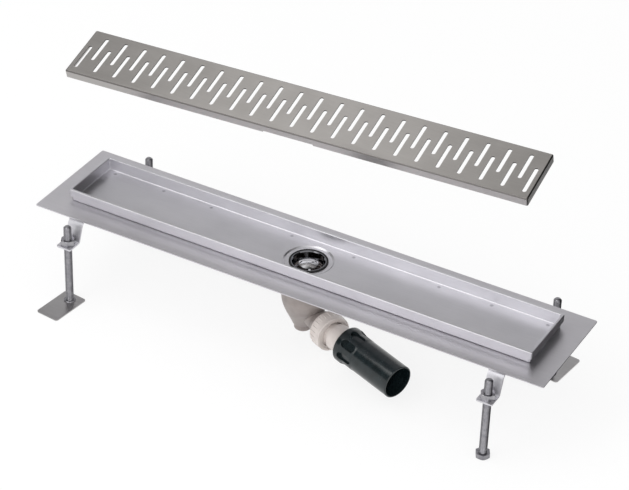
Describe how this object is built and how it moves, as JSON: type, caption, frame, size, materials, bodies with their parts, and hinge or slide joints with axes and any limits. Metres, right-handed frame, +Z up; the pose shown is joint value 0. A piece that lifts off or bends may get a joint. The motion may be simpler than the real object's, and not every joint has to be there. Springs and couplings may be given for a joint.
{
  "type": "linear shower drain",
  "caption": "Narrow steel floor channel on a sealing flange, with a slotted cover lifted off, a bottle trap with a swivelling side outlet, and levelling legs.",
  "frame": {"origin": "on the floor that the feet stand on, under the middle of the front left leg's rod", "axes": "+X along the channel, +Y to the back, +Z up"},
  "size_m": [0.861, 0.3365, 0.3179],
  "materials": {
    "stainless_steel": "brushed",
    "chromed_steel": "polished",
    "black_rubber": "matte",
    "grey_plastic": "moulded, satin",
    "light_grey_plastic": "moulded, satin",
    "dark_plastic": "moulded, gloss",
    "zinc_plated_steel": "bright zinc plated"
  },
  "bodies": {
    "root": {"channel_tray": "stainless_steel", "sealing_flange": "stainless_steel", "cover": "stainless_steel", "waste_cup": "chromed_steel", "strainer": "chromed_steel", "rim_seal": "black_rubber", "body_seal": "black_rubber", "dip_seal": "black_rubber", "swivel_seal": "black_rubber", "adapter_seal": "black_rubber", "trap_body": "grey_plastic", "trap_plug": "grey_plastic", "dip_tube": "grey_plastic", "union_nut": "light_grey_plastic", "swivel_pipe": "light_grey_plastic", "spigot_adapter": "dark_plastic", "leg_strap_front_left": "zinc_plated_steel", "leg_nut_front_left": "zinc_plated_steel", "leg_washer_front_left": "zinc_plated_steel", "leg_stud_front_left": "zinc_plated_steel", "foot_plate_front_left": "zinc_plated_steel", "foot_collar_front_left": "zinc_plated_steel", "leg_strap_front_right": "zinc_plated_steel", "leg_nut_front_right": "zinc_plated_steel", "leg_washer_front_right": "zinc_plated_steel", "leg_bolt_front_right": "zinc_plated_steel", "leg_strap_back_left": "zinc_plated_steel", "leg_nut_back_left": "zinc_plated_steel", "leg_washer_back_left": "zinc_plated_steel", "leg_bolt_back_left": "zinc_plated_steel", "leg_strap_back_right": "zinc_plated_steel", "leg_nut_back_right": "zinc_plated_steel", "leg_washer_back_right": "zinc_plated_steel", "leg_stud_back_right": "zinc_plated_steel", "foot_plate_back_right": "zinc_plated_steel", "foot_collar_back_right": "zinc_plated_steel"}
  },
  "joints": []
}
